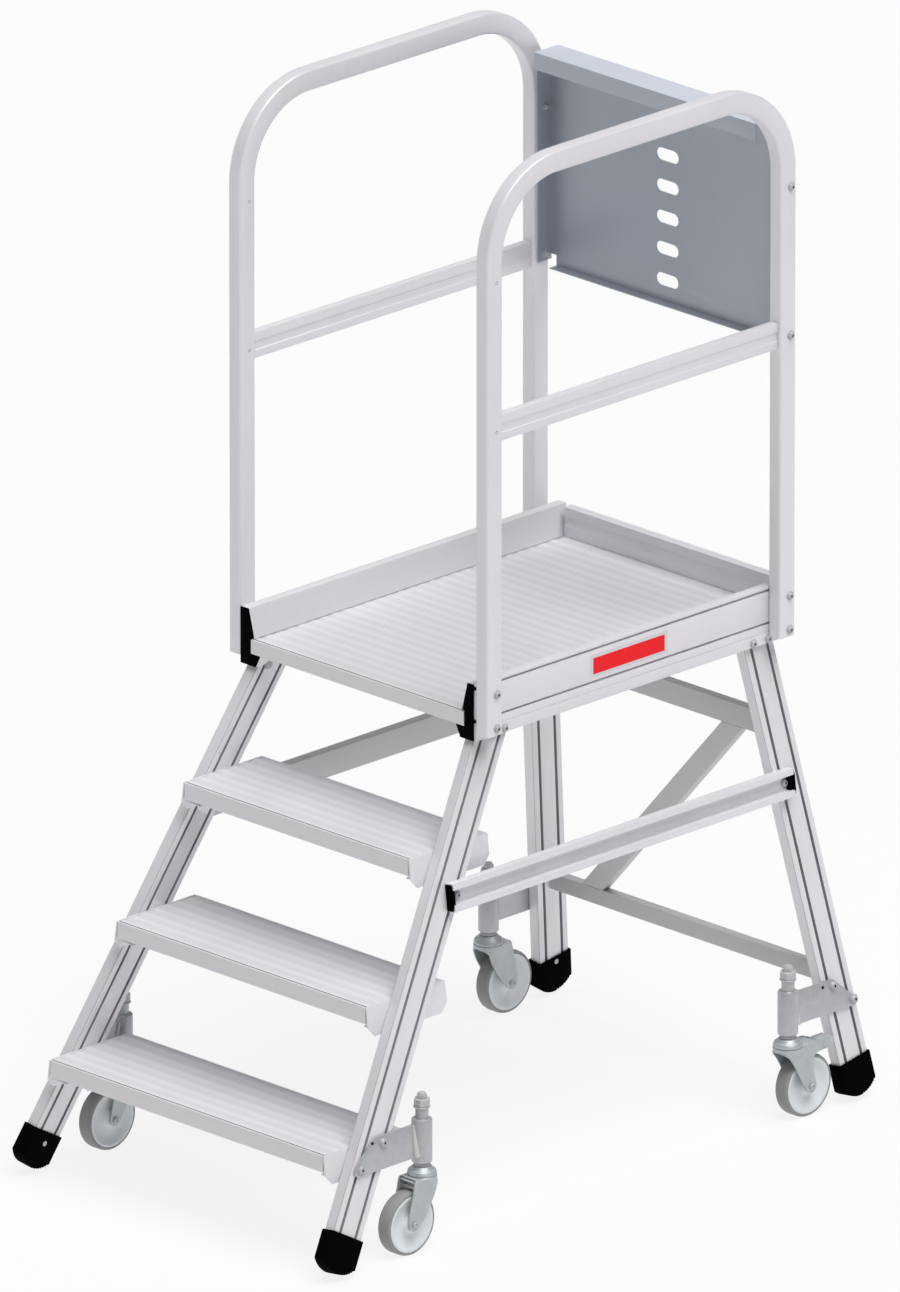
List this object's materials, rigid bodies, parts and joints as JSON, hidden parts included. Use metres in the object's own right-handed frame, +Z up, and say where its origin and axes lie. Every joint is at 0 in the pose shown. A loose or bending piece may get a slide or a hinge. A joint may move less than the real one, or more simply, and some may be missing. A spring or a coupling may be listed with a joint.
{
  "type": "rolling platform ladder",
  "caption": "Aluminium rolling warehouse ladder: wide treads up to a railed platform with a back panel, on splayed legs with spring-loaded swivel castors.",
  "frame": {"origin": "on the floor, under the middle of the ladder's bounding box", "axes": "+Z up, -Y the side that is climbed, +X the climber's right"},
  "size_m": [0.827, 1.4091, 1.9845],
  "materials": {
    "aluminium_profile": "mill-finish extruded aluminium, fine matte grain along the profile",
    "ribbed_aluminium": "extruded aluminium with fine anti-slip ribs",
    "aluminium_tube": "satin drawn aluminium tube",
    "panel_sheet": "folded sheet, smooth blue-grey satin",
    "foot_rubber": "matte black moulded rubber",
    "black_plastic": "matte black moulded plastic",
    "zinc_bracket": "zinc-plated steel, satin",
    "zinc_fork": "zinc-plated pressed steel",
    "galvanised_steel": "bright zinc-plated fastener steel",
    "spring_steel": "oiled spring wire",
    "grey_wheel": "light grey moulded wheel with a slightly darker tread"
  },
  "bodies": {
    "ladder": {"front_leg_left": "aluminium_profile", "front_leg_right": "aluminium_profile", "rear_leg_left": "aluminium_profile", "rear_leg_right": "aluminium_profile", "front_foot_left": "foot_rubber", "front_foot_right": "foot_rubber", "rear_foot_left": "foot_rubber", "rear_foot_right": "foot_rubber", "tread_1": "ribbed_aluminium", "tread_2": "ribbed_aluminium", "tread_3": "ribbed_aluminium", "tread_bracket_1_left": "aluminium_profile", "tread_bracket_1_right": "aluminium_profile", "tread_bracket_2_left": "aluminium_profile", "tread_bracket_2_right": "aluminium_profile", "tread_bracket_3_left": "aluminium_profile", "tread_bracket_3_right": "aluminium_profile", "platform_deck": "ribbed_aluminium", "side_rail_left": "aluminium_profile", "side_rail_right": "aluminium_profile", "side_rail_cap_left": "black_plastic", "side_rail_cap_right": "black_plastic", "rear_toe_board": "aluminium_profile", "handrail_left": "aluminium_tube", "handrail_right": "aluminium_tube", "knee_rail_left": "aluminium_profile", "knee_rail_right": "aluminium_profile", "back_panel": "panel_sheet", "side_brace_left": "aluminium_profile", "side_brace_right": "aluminium_profile", "upper_cross_member": "aluminium_profile", "lower_cross_member": "aluminium_profile", "rear_diagonal": "aluminium_profile", "front_castor_bracket_left": "zinc_bracket", "front_castor_bracket_right": "zinc_bracket", "rear_castor_bracket_left": "zinc_bracket", "rear_castor_bracket_right": "zinc_bracket", "castor_spring_front_left": "spring_steel", "castor_spring_front_right": "spring_steel", "castor_spring_rear_left": "spring_steel", "castor_spring_rear_right": "spring_steel"},
    "stem_front_left": {"castor_stem_front_left": "galvanised_steel"},
    "fork_front_left": {"castor_fork_front_left": "zinc_fork", "castor_axle_front_left": "galvanised_steel"},
    "wheel_front_left": {"castor_wheel_front_left": "grey_wheel"},
    "pedal_front_left": {"brake_pedal_front_left": "zinc_fork"},
    "stem_front_right": {"castor_stem_front_right": "galvanised_steel"},
    "fork_front_right": {"castor_fork_front_right": "zinc_fork", "castor_axle_front_right": "galvanised_steel"},
    "wheel_front_right": {"castor_wheel_front_right": "grey_wheel"},
    "stem_rear_left": {"castor_stem_rear_left": "galvanised_steel"},
    "fork_rear_left": {"castor_fork_rear_left": "zinc_fork", "castor_axle_rear_left": "galvanised_steel"},
    "wheel_rear_left": {"castor_wheel_rear_left": "grey_wheel"},
    "stem_rear_right": {"castor_stem_rear_right": "galvanised_steel"},
    "fork_rear_right": {"castor_fork_rear_right": "zinc_fork", "castor_axle_rear_right": "galvanised_steel"},
    "wheel_rear_right": {"castor_wheel_rear_right": "grey_wheel"},
    "pedal_rear_right": {"brake_pedal_rear_right": "zinc_fork"}
  },
  "joints": [
    {"name": "spring_travel_front_left", "type": "slide", "parent": "ladder", "child": "stem_front_left", "axis": [0, 0, 1], "range_m": [0, 0.0075], "stiffness_N_per_m": 10000, "springref_m": -0.015, "deforming": ["castor_spring_front_left"]},
    {"name": "swivel_front_left", "type": "hinge", "parent": "stem_front_left", "child": "fork_front_left", "pos_m": [-0.3855, -0.44234, 0.148], "axis": [0, 0, 1], "continuous": true},
    {"name": "wheel_spin_front_left", "type": "hinge", "parent": "fork_front_left", "child": "wheel_front_left", "pos_m": [-0.3855, -0.48234, 0.06], "axis": [1, 0, 0], "continuous": true},
    {"name": "brake_front_left", "type": "hinge", "parent": "fork_front_left", "child": "pedal_front_left", "pos_m": [-0.3855, -0.51634, 0.131], "axis": [1, 0, 0], "range_deg": [0, 18]},
    {"name": "spring_travel_front_right", "type": "slide", "parent": "ladder", "child": "stem_front_right", "axis": [0, 0, 1], "range_m": [0, 0.0075], "stiffness_N_per_m": 10000, "springref_m": -0.015, "deforming": ["castor_spring_front_right"]},
    {"name": "swivel_front_right", "type": "hinge", "parent": "stem_front_right", "child": "fork_front_right", "pos_m": [0.3855, -0.44234, 0.148], "axis": [0, 0, 1], "continuous": true},
    {"name": "wheel_spin_front_right", "type": "hinge", "parent": "fork_front_right", "child": "wheel_front_right", "pos_m": [0.3855, -0.48234, 0.06], "axis": [1, 0, 0], "continuous": true},
    {"name": "spring_travel_rear_left", "type": "slide", "parent": "ladder", "child": "stem_rear_left", "axis": [0, 0, 1], "range_m": [0, 0.0075], "stiffness_N_per_m": 10000, "springref_m": -0.015, "deforming": ["castor_spring_rear_left"]},
    {"name": "swivel_rear_left", "type": "hinge", "parent": "stem_rear_left", "child": "fork_rear_left", "pos_m": [-0.3855, 0.49766, 0.148], "axis": [0, 0, 1], "continuous": true},
    {"name": "wheel_spin_rear_left", "type": "hinge", "parent": "fork_rear_left", "child": "wheel_rear_left", "pos_m": [-0.3855, 0.53766, 0.06], "axis": [1, 0, 0], "continuous": true},
    {"name": "spring_travel_rear_right", "type": "slide", "parent": "ladder", "child": "stem_rear_right", "axis": [0, 0, 1], "range_m": [0, 0.0075], "stiffness_N_per_m": 10000, "springref_m": -0.015, "deforming": ["castor_spring_rear_right"]},
    {"name": "swivel_rear_right", "type": "hinge", "parent": "stem_rear_right", "child": "fork_rear_right", "pos_m": [0.3855, 0.49766, 0.148], "axis": [0, 0, 1], "continuous": true},
    {"name": "wheel_spin_rear_right", "type": "hinge", "parent": "fork_rear_right", "child": "wheel_rear_right", "pos_m": [0.3855, 0.53766, 0.06], "axis": [1, 0, 0], "continuous": true},
    {"name": "brake_rear_right", "type": "hinge", "parent": "fork_rear_right", "child": "pedal_rear_right", "pos_m": [0.3855, 0.57166, 0.131], "axis": [-1, 0, 0], "range_deg": [0, 18]}
  ]
}
